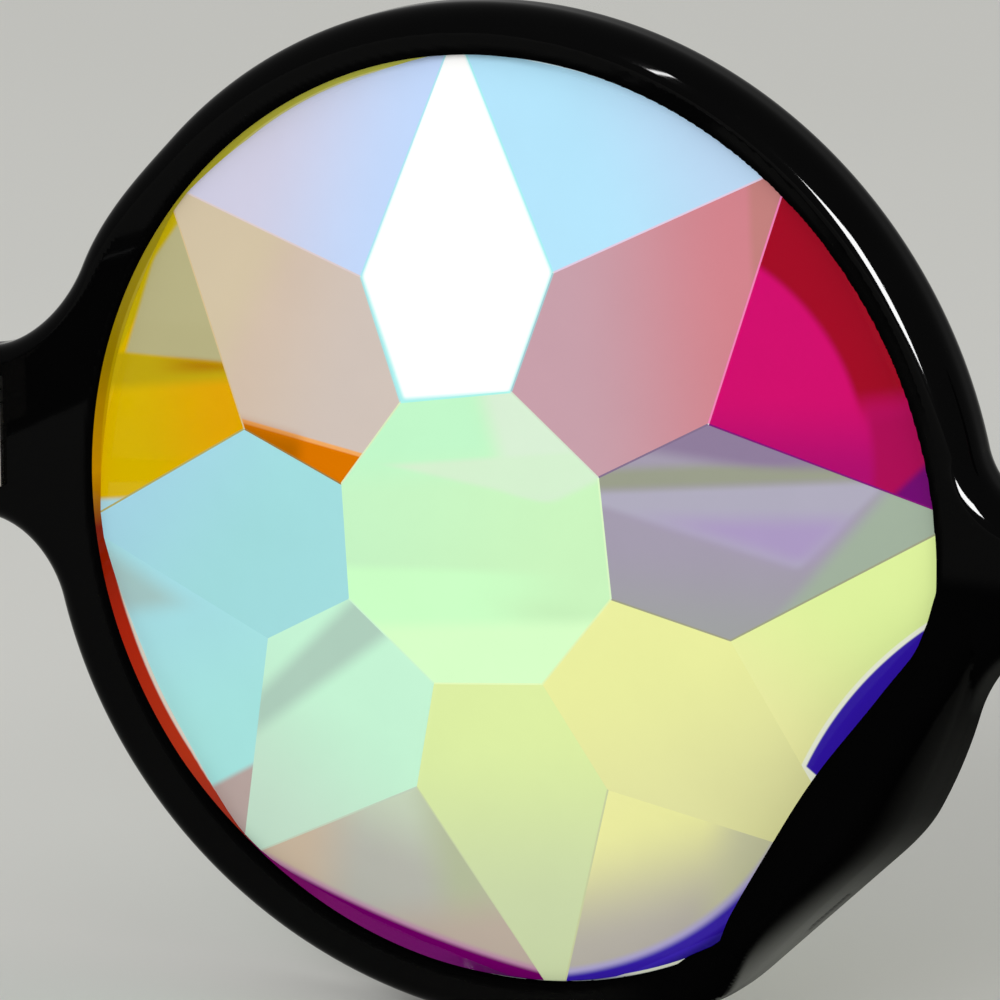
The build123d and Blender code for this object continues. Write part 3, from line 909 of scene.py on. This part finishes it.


# %% Painted reflections on the facets
# Painted reflections and highlights: a facet, its patch's colour, how soft its border is, and
# lines with the patch to their left. A line is its start across and up, its end, and its softness if
# it has its own.
painted_reflections = [
    (0, "C0F6CA", 2.5, [(1.5, 4.1, 0.6, 6.9), (-6.0, 2.5, 1.5, 3.9)]),
    (0, "D8EED6", 0.6, [(0.6, 6.9, 1.5, 4.1, 1.5), (-4.2, 3.1, 4.1, 2.3), (4.1, 2.3, 7.0, 3.9)]),
    (0, "D4EFD0", 0.4, [(-4.2, 3.1, 4.1, 2.3), (1.5, 4.2, -4.2, 3.2), (4.1, 2.3, 7.0, 3.9, 0.8)]),
    (0, "CCFFC8", 0.7, [(6.9, -1.0, -7.0, -2.2), (3.5, -5.0, 2.5, -1.0, 7.0)]),
    (0, "C8F2BE", 1.0, [(6.9, -2.5, 0.4, -2.8), (1.5, -3.9, 6.4, -3.5), (2.5, -1.0, 3.0, -5.0, 6.0)]),
    (0, "D8FFCA", 1.0, [(6.1, -3.4, -6.2, -5.1)]),
    (1, "B0ACC0", 0.5, [(17.8, 4.3, 7.1, 3.2), (7.8, 2.2, 16.4, 0.0), (16.4, 0.0, 19.6, 3.5)]),
    (1, "AC9AC6", 1.4, [(19.7, 2.6, 8.8, 1.9), (7.8, 2.4, 16.4, 0.2), (16.4, 0.0, 19.6, 3.5)]),
    (1, "9A9E8C", 0.7, [(7.1, 3.2, 17.8, 4.3), (14.4, 5.0, 6.9, 4.2)]),
    (1, "8E7C9C", 0.9, [(7.0, 4.0, 14.4, 4.7), (14.4, 4.7, 20.0, 4.1)]),
    (1, "A2B2A0", 1.0, [(20.2, 3.7, 16.5, -1.1)]),
    (2, "C07E7C", 0.5, [(13.0, 17.7, 13.4, 14.6)]),
    # A painted highlight: the top kite is white where it throws back a lamp.
    (3, "FFFFFF", 0.3, [
        (-3.8, 6.5, 2.1, 7.5), (2.0, 7.5, 3.6, 13.2), (3.6, 13.2, -2.9, 24.0),
        (-2.9, 24.0, -6.6, 12.0), (-6.6, 12.0, -3.7, 6.5),
    ]),
    (4, "D0C0A4", 3.0, [(-13.5, 9.0, -11.0, 14.0)]),
    (4, "F0A860", 0.1, [(-6.6, 3.6, -13.1, 4.15)]),
    (4, "D87400", 0.1, [(-6.6, 3.4, -13.1, 3.95)]),
    (4, "B46400", 1.2, [(-6.6, 3.4, -13.1, 3.95), (-10.0, 0.0, -9.5, 6.0)]),
    (6, "B2D2C2", 1.0, [(-7.1, -4.3, -12.7, -9.6), (-12.9, -11.6, -5.1, -5.7)]),
    (9, "9C0020", 0.8, [(14.0, 18.0, 21.0, 12.0)]),
    (9, "700070", 0.5, [(22.0, 5.2, 20.8, 3.9)]),
    (12, "C2AC0C", 0.2, [(-21.8, 6.1, -17.6, 13.6)]),
    (12, "A8D6E4", 0.35, [(-20.7, -1.0, -23.5, -1.6)]),
    (12, "B6B084", 0.3, [
        (-17.6, 13.6, -19.6, 11.1), (-19.6, 11.1, -21.2, 6.5), (-21.8, 6.1, -14.7, 6.7),
    ]),
    (12, "BEA40C", 0.3, [(-14.7, 6.7, -21.8, 6.1), (-22.5, 4.2, -14.1, 6.0, 0.8)]),
    (12, "B07C00", 0.6, [
        (-14.7, 6.7, -21.8, 6.1), (-22.2, 4.9, -14.4, 6.4), (-17.5, 8.0, -18.5, 3.0, 4.0),
    ]),
    (13, "A8CCCC", 1.8, [
        (-17.1, -6.0, -20.2, -4.8), (-21.8, -7.2, -19.8, -6.9), (-19.8, -6.9, -17.1, -5.7),
    ]),
    (13, "BCA8A4", 0.4, [(-13.6, -13.7, -16.6, -15.5)]),
    (14, "D0BCA6", 4.0, [(-9.9, -19.7, -8.9, -16.0)]),
    (14, "BCC4A4", 3.0, [(-3.3, -15.5, -3.0, -21.0)]),
    (14, "C4B4A8", 3.0, [(1.0, -18.7, -4.0, -20.2)]),
    (15, "D2D2AC", 2.5, [(12.5, -13.0, 11.0, -19.0)]),
]
# Painted reflections of the rim and the nose pad: a facet, its patch's colour, how soft its
# border is, a circle, and lines as above. The circle is its centre across and up and its radius. A
# patch outside it has a radius below 0.
round_painted_reflections = [
    (9, "A00020", 0.5, (7.5, 4.0, -12.0), [(17.0, 7.5, 23.0, 8.5, 2.0)]),
    (9, "AC0054", 0.6, (7.5, 4.0, -12.3), [(23.0, 8.5, 17.0, 7.5, 2.0)]),
    (16, "F8FCE8", 0.08, (34.3, -17.95, 19.72), [(15.6, -9.0, 16.2, -9.9)]),
    (16, "3418B0", 0.1, (34.3, -17.95, 19.5), [(16.5, -9.8, 17.6, -10.8)]),
]
# Painted reflections of the rim's lip, as bands of deep colour along the rim, written as the round
# patches are, and painted last
painted_rim_reflections = [
    (15, "B8B0E0", 0.4, (-0.9, -4.0, -18.55), []),
    (15, "3A20B4", 0.4, (-0.9, -4.0, -18.85), []),
    (15, "1E0A80", 0.5, (-0.9, -4.0, -19.55), []),
    (14, "C48CB4", 0.5, (6.8, 32.3, -54.7), []),
    (14, "740068", 0.3, (6.8, 32.3, -54.95), []),
]


def side_of(tree, across, up, line, soft):
    """1 to the left of a line from its start to its end, and 0 to its right."""
    start, end = Vector(line[:2]) * mm, Vector(line[2:4]) * mm
    soft = line[4] if len(line) > 4 else soft
    normal = (end - start).orthogonal().normalized()
    distance = calc(tree, "MULTIPLY_ADD", up, normal.y, -start.dot(normal))
    distance = calc(tree, "MULTIPLY_ADD", across, normal.x, distance)
    return ramp(tree, distance, -soft * mm / 2, soft * mm / 2)


def inside_circle(tree, across, up, circle, soft):
    """1 inside a circle and 0 outside it, or the other way round where its radius is below 0."""
    x = calc(tree, "SUBTRACT", across, circle[0] * mm)
    y = calc(tree, "SUBTRACT", up, circle[1] * mm)
    square = calc(tree, "MULTIPLY_ADD", x, x, calc(tree, "MULTIPLY", y, y))
    reach = calc(tree, "SQRT", square)
    edge, half = abs(circle[2]) * mm, math.copysign(soft * mm / 2, circle[2])
    return ramp(tree, reach, edge + half, edge - half)


def add_patches(tree, colour, facet, across, up):
    """Paints the reflection patches on the facets, each within its own facet, lines and circle."""
    straight = [(*row[:3], None, row[3]) for row in painted_reflections]
    for number, patch, soft, circle, lines in round_painted_reflections + straight + painted_rim_reflections:
        share = calc(tree, "COMPARE", facet, number, 0.5)
        for line in lines:
            share = calc(tree, "MULTIPLY", share, side_of(tree, across, up, line, soft))
        if circle:
            inside = inside_circle(tree, across, up, circle, soft)
            share = calc(tree, "MULTIPLY", share, inside)
        colour = blend_colours(tree, share, colour, linear(patch))
    return colour


# %% Glass
def make_facet_glass():
    """The coating's colour from the faces, its painted reflections, and a faint cloudiness."""
    values = {"Roughness": 0.05, "IOR": 1.52, "Transmission Weight": 0.05}
    material, tree, shader, place = new_material("facet_glass", **values)
    shader.inputs["Specular IOR Level"].default_value = 0.09
    across, up = lens_axes(tree, place)
    here = add_node(tree, "ShaderNodeCombineXYZ", {0: across, 1: up, 2: 1.0}).outputs[0]
    run = read_attribute(tree, "colour_run", "Vector")
    share = add_node(tree, "ShaderNodeVectorMath", {0: here, 1: run}, operation="DOT_PRODUCT")
    share = ramp(tree, share.outputs["Value"], 0.0, 1.0)
    first, second = read_attribute(tree, "first_colour"), read_attribute(tree, "second_colour")
    colour = blend_colours(tree, share, first, second)
    facet = read_attribute(tree, "facet", "Fac")
    colour = add_patches(tree, colour, facet, across, up)
    cloud = noise(tree, place, 240.0, 3.0)
    cloud = calc(tree, "MULTIPLY_ADD", cloud, 0.06, 0.97)
    colour = add_node(tree, "ShaderNodeVectorMath", {0: colour, 3: cloud}, operation="SCALE")
    plug(tree, shader.inputs["Base Color"], colour.outputs[0])
    return material


facet_glass = make_facet_glass()

# %% Make the lenses
for side in ("left", "right"):
    lens = make_lens(side)
    lens.data.materials.append(facet_glass)
    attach(lens, "front")
    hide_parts(f"lens_{side}")

# %% [markdown]
# A thin fillet of clear cement closes the gap between the lip and the glass. Its colours are
# painted: bands that stand for the reflections of the lip in the coated facets, changing hue
# round the lens, and a fine painted highlight along its inner edge. Its small section is
# turned about the lens axis, and its width, height and hue follow the angle.

# %% Cement
bead_sink = 0.05 * mm
bead_toe = 0.02 * mm
bead_steps = 240
# Angle about the lens axis in degrees, from the bridge side and up, then the bead's width
# and height in mm, its hue, a painted reflection, and the hue of the painted highlight line along its
# inner edge
bead_stops = [
    (-180, 0.3, 0.62, "DCA000", "E4B400"),
    (-173, 0.4, 0.62, "8C1C00", "D8C0A8"),
    (-160, 0.6, 0.6, "B42000", "E8D8C8"),
    (-142, 0.6, 0.5, "B83010", "E8D4C8"),
    (-130, 0.1, 0.3, "A03020", "D8B0A8"),
    (-127, 0.15, 0.3, "780060", "780060"),
    (-114, 0.5, 0.3, "740064", "740064"),
    (-100, 0.6, 0.25, "6C0064", "6C0064"),
    (-91, 0.4, 0.1, "500050", "740064"),
    (-86, 0.2, 0.1, "380058", "1E0A80"),
    (-78, 0.1, 0.05, "5048A0", "1E0A80"),
    (-72, 0.12, 0.05, "D8DCC8", "D8DCC8"),
    (-60, 0.15, 0.05, "D8DCC8", "D8DCC8"),
    (-40, 0.8, 0.1, "3018B0", "E8FCB0"),
    (-30, 0.4, 0.1, "E4F8A8", "F0FCC0"),
    (5, 0.2, 0.1, "A0A898", "A0A898"),
    (12, 0.3, 0.1, "700010", "900018"),
    (45, 0.25, 0.1, "600010", "900020"),
    (50, 0.2, 0.1, "B8D8F0", "D0E8FC"),
    (92, 0.2, 0.1, "C8E8F8", "E0F4FC"),
    (100, 0.3, 0.2, "C8C850", "D8D8A0"),
    (135, 0.35, 0.4, "B8B020", "D0C860"),
    (165, 0.35, 0.6, "A88C00", "C8B000"),
    (180, 0.3, 0.62, "DCA000", "E4B400"),
]


def make_bead(side, material):
    """A thin ring whose width follows the table, with its share across it on its points."""
    mirror = 1 if side == "left" else -1
    angles = np.linspace(-math.pi, math.pi, bead_steps, endpoint=False)
    turns, *sizes = np.array([row[:3] for row in bead_stops]).T
    widths, heights = [np.interp(np.degrees(angles), turns, size) * mm for size in sizes]
    places, faces = [], []
    for i, (angle, width, rise) in enumerate(zip(angles, widths, heights)):
        section = [
            (opening_radius, -bead_sink),
            (opening_radius - width, -bead_sink),
            (opening_radius - width, bead_toe),
            (opening_radius, rise),
        ]
        for radius, height in section:
            x = mirror * (lens_x - radius * math.cos(angle))
            places.append((x, girdle_y + height, lens_z + radius * math.sin(angle)))
        for j in range(4):
            after, turn = (j + 1) % 4, 4 * ((i + 1) % bead_steps)
            faces.append((4 * i + j, 4 * i + after, turn + after, turn + j))
    mesh = bpy.data.meshes.new(f"cement_bead_{side}")
    mesh.from_pydata(places, [], faces)
    outward = mesh.attributes.new("outward", "FLOAT", "POINT")
    outward.data.foreach_set("value", [1.0, 0.0, 0.0, 1.0] * bead_steps)
    ring = bmesh.new()
    ring.from_mesh(mesh)
    bmesh.ops.recalc_face_normals(ring, faces=ring.faces)
    ring.to_mesh(mesh)
    ring.free()
    mesh.materials.append(material)
    return add_object(mesh.name, mesh)


def hue_wheel(tree, angle_share, column):
    """A colour ramp round the lens from one column of the bead's table."""
    node = add_node(tree, "ShaderNodeValToRGB", {"Fac": angle_share})
    stops = node.color_ramp.elements
    for i, row in enumerate(bead_stops):
        stop = stops[i] if i < 2 else stops.new(1.0)
        stop.position = row[0] / 360 + 0.5
        stop.color = linear(row[column])
    return node.outputs["Color"]


def make_cement():
    values = {"Roughness": 0.08, "IOR": 1.5, "Transmission Weight": 0.1}
    material, tree, shader, place = new_material("cement", **values)
    shader.inputs["Specular IOR Level"].default_value = 0.1
    across, up = lens_axes(tree, place)
    angle = calc(tree, "ARCTAN2", up, across)
    share = calc(tree, "MULTIPLY_ADD", angle, 1 / (2 * math.pi), 0.5)
    # The ring is painted with reflected hues, and with a highlight line along its inner edge.
    inner = ramp(tree, read_attribute(tree, "outward", "Fac"), 0.3, 0.15)
    colour = blend_colours(tree, inner, hue_wheel(tree, share, 3), hue_wheel(tree, share, 4))
    plug(tree, shader.inputs["Base Color"], colour)
    return material


cement = make_cement()
for side in ("left", "right"):
    bead = make_bead(side, cement)
    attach(bead, "front")
    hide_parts(f"lens_bead_{side}")

# %% [markdown]
# Two rivets hold each hinge leaf. They are flush outside and domed over the leaf. They are
# the piece that repeats here, so Geometry Nodes make them: a cylinder whose ends are raised
# into domes, set on the points of a small mesh that has one point for each rivet.

# %% Rivet metal
def make_metal(name, dark, light, roughness, stretch, scale=700.0):
    """A metal with fine lines along one axis, and small differences in tint and polish."""
    material, tree, shader, place = new_material(name, Metallic=1.0)
    cloud = noise(tree, place, 260.0, 3.0)
    lines = noise(tree, place, scale, 2.0, stretch)
    plug(tree, shader.inputs["Base Color"], blend_colours(tree, cloud, linear(dark), linear(light)))
    rough = calc(tree, "MULTIPLY_ADD", lines, 0.16, roughness)
    plug(tree, shader.inputs["Roughness"], rough)
    add_bump(tree, shader, lines, 0.006 * mm)
    return material


rivet_metal = make_metal("rivet_metal", "B4B0A8", "CCC8C0", 0.14, (1.0, 1.0, 1.0))

# %% Rivets by Geometry Nodes
rivet_head = 0.85 * mm
flush_dome = 0.12 * mm
raised_dome = 0.35 * mm
front_rivet_insets = (1.05 * mm, 3.15 * mm)
temple_rivet_insets = (4.0 * mm, 7.8 * mm)


def make_rivet_tree():
    """A tree with named inputs for the sizes of a rivet, set on each point that it is given."""
    tree = bpy.data.node_groups.new("rivets", "GeometryNodeTree")
    tree.interface.new_socket(name="Places", in_out="INPUT", socket_type="NodeSocketGeometry")
    sockets = {}
    for name in ("Head Radius", "Shank Length", "Flush Dome", "Raised Dome"):
        socket = tree.interface.new_socket(name=name, in_out="INPUT", socket_type="NodeSocketFloat")
        sockets[name] = socket.identifier
    for name, kind in (("Turn", "NodeSocketVector"), ("Metal", "NodeSocketMaterial")):
        socket = tree.interface.new_socket(name=name, in_out="INPUT", socket_type=kind)
        sockets[name] = socket.identifier
    tree.interface.new_socket(name="Rivets", in_out="OUTPUT", socket_type="NodeSocketGeometry")
    given = tree.nodes.new("NodeGroupInput").outputs
    inputs = {
        "Vertices": 32,
        "Fill Segments": 5,
        "Radius": given["Head Radius"],
        "Depth": given["Shank Length"],
    }
    cylinder = add_node(tree, "GeometryNodeMeshCylinder", inputs)
    spot = add_node(tree, "GeometryNodeInputPosition").outputs[0]
    axes = add_node(tree, "ShaderNodeSeparateXYZ", {0: spot}).outputs
    flat = add_node(tree, "ShaderNodeCombineXYZ", {0: axes[0], 1: axes[1]}).outputs[0]
    out = add_node(tree, "ShaderNodeVectorMath", {0: flat}, operation="LENGTH").outputs["Value"]
    out = calc(tree, "DIVIDE", out, given["Head Radius"])
    rise = calc(tree, "SUBTRACT", 1.0, calc(tree, "MULTIPLY", out, out))
    upper = calc(tree, "GREATER_THAN", axes[2], 0.0)
    raised = calc(tree, "MULTIPLY", upper, given["Raised Dome"])
    lower = calc(tree, "SUBTRACT", 1.0, upper)
    dome = calc(tree, "SUBTRACT", raised, calc(tree, "MULTIPLY", lower, given["Flush Dome"]))
    lift = add_node(tree, "ShaderNodeCombineXYZ", {2: calc(tree, "MULTIPLY", rise, dome)})
    shaped = add_node(
        tree, "GeometryNodeSetPosition", {0: cylinder.outputs["Mesh"], "Offset": lift.outputs[0]}
    )
    inputs = {"Points": given["Places"], "Instance": shaped.outputs[0], "Rotation": given["Turn"]}
    placed = add_node(tree, "GeometryNodeInstanceOnPoints", inputs)
    real = add_node(tree, "GeometryNodeRealizeInstances", {0: placed.outputs[0]})
    finish = {"Geometry": real.outputs[0], "Material": given["Metal"]}
    coated = add_node(tree, "GeometryNodeSetMaterial", finish)
    end = tree.nodes.new("NodeGroupOutput")
    tree.links.new(coated.outputs[0], end.inputs[0])
    return tree, sockets


rivet_tree, rivet_sockets = make_rivet_tree()


def make_rivets(name, places, turn, shank):
    """Runs the tree on some places, and keeps its result as a plain mesh."""
    mesh = bpy.data.meshes.new(name)
    mesh.from_pydata(places, [], [])
    seed = add_object(name + "_places", mesh)
    modifier = seed.modifiers.new("rivets", "NODES")
    modifier.node_group = rivet_tree
    values = {
        "Head Radius": rivet_head,
        "Shank Length": shank,
        "Flush Dome": flush_dome,
        "Raised Dome": raised_dome,
        "Turn": turn,
        "Metal": rivet_metal,
    }
    for socket, value in values.items():
        modifier[rivet_sockets[socket]] = value
    graph = bpy.context.evaluated_depsgraph_get()
    made = bpy.data.meshes.new_from_object(seed.evaluated_get(graph))
    bpy.data.objects.remove(seed)
    made.name = name
    assert made.polygons, name + " is empty"
    print(name, len(made.polygons), "faces")
    return add_object(name, made)


# %% Set the rivets
quarter = math.pi / 2
for side, mirror in (("left", 1), ("right", -1)):
    low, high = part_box(f"front_rivets_{side}")
    shank = high.y - low.y - flush_dome - raised_dome
    y = low.y + flush_dome + shank / 2
    places = [(mirror * (leaf_low.x + inset), y, hinge_z) for inset in front_rivet_insets]
    rivets = make_rivets(f"rivet_pair_front_{side}", places, (-quarter, 0, 0), shank)
    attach(rivets, "front")
    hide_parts(f"front_rivets_{side}")

    low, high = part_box(f"temple_rivets_{side}")
    shank = high.x - low.x - flush_dome - raised_dome
    x = mirror * (max(abs(low.x), abs(high.x)) - flush_dome - shank / 2)
    places = [(x, temple_y + inset, hinge_z) for inset in temple_rivet_insets]
    rivets = make_rivets(f"rivet_pair_temple_{side}", places, (0, -mirror * quarter, 0), shank)
    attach(rivets, f"temple_arm_{side}")
    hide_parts(f"temple_rivets_{side}")

# %% [markdown]
# The hinges, screws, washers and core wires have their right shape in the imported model, so
# they stay and only get their finish. Nickel silver is warm and satin, with fine lines left
# by the stamping. The screws are harder and brighter, and the nylon is slightly clouded.

# %% Finish of the hinges, screws, washers and wires
hinge_metal = make_metal("hinge_metal", "B0ACA4", "CAC6BE", 0.2, (1.0, 0.2, 4.0))
screw_steel = make_metal("screw_steel", "B8B8BA", "D2D2D4", 0.08, (1.0, 1.0, 6.0))
core_wire = make_metal("core_wire", "96969A", "AEAEB2", 0.22, (5.0, 0.1, 5.0))


def make_nylon():
    material, tree, shader, place = new_material("nylon", Roughness=0.45)
    cloud = noise(tree, place, 900.0, 3.0)
    tint = blend_colours(tree, cloud, linear("E4E0D4"), linear("F0EEE6"))
    plug(tree, shader.inputs["Base Color"], tint)
    add_bump(tree, shader, cloud, 0.01 * mm)
    return material


nylon = make_nylon()
finishes = {
    "hinge_front": hinge_metal,
    "hinge_temple": hinge_metal,
    "hinge_screw": screw_steel,
    "hinge_washers": nylon,
    "temple_core": core_wire,
}
for name, material in finishes.items():
    for side in ("left", "right"):
        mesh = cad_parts[f"{name}_{side}"].data
        mesh.materials.clear()
        mesh.materials.append(material)
print("finished", len(finishes), "pairs of carried-over pieces")
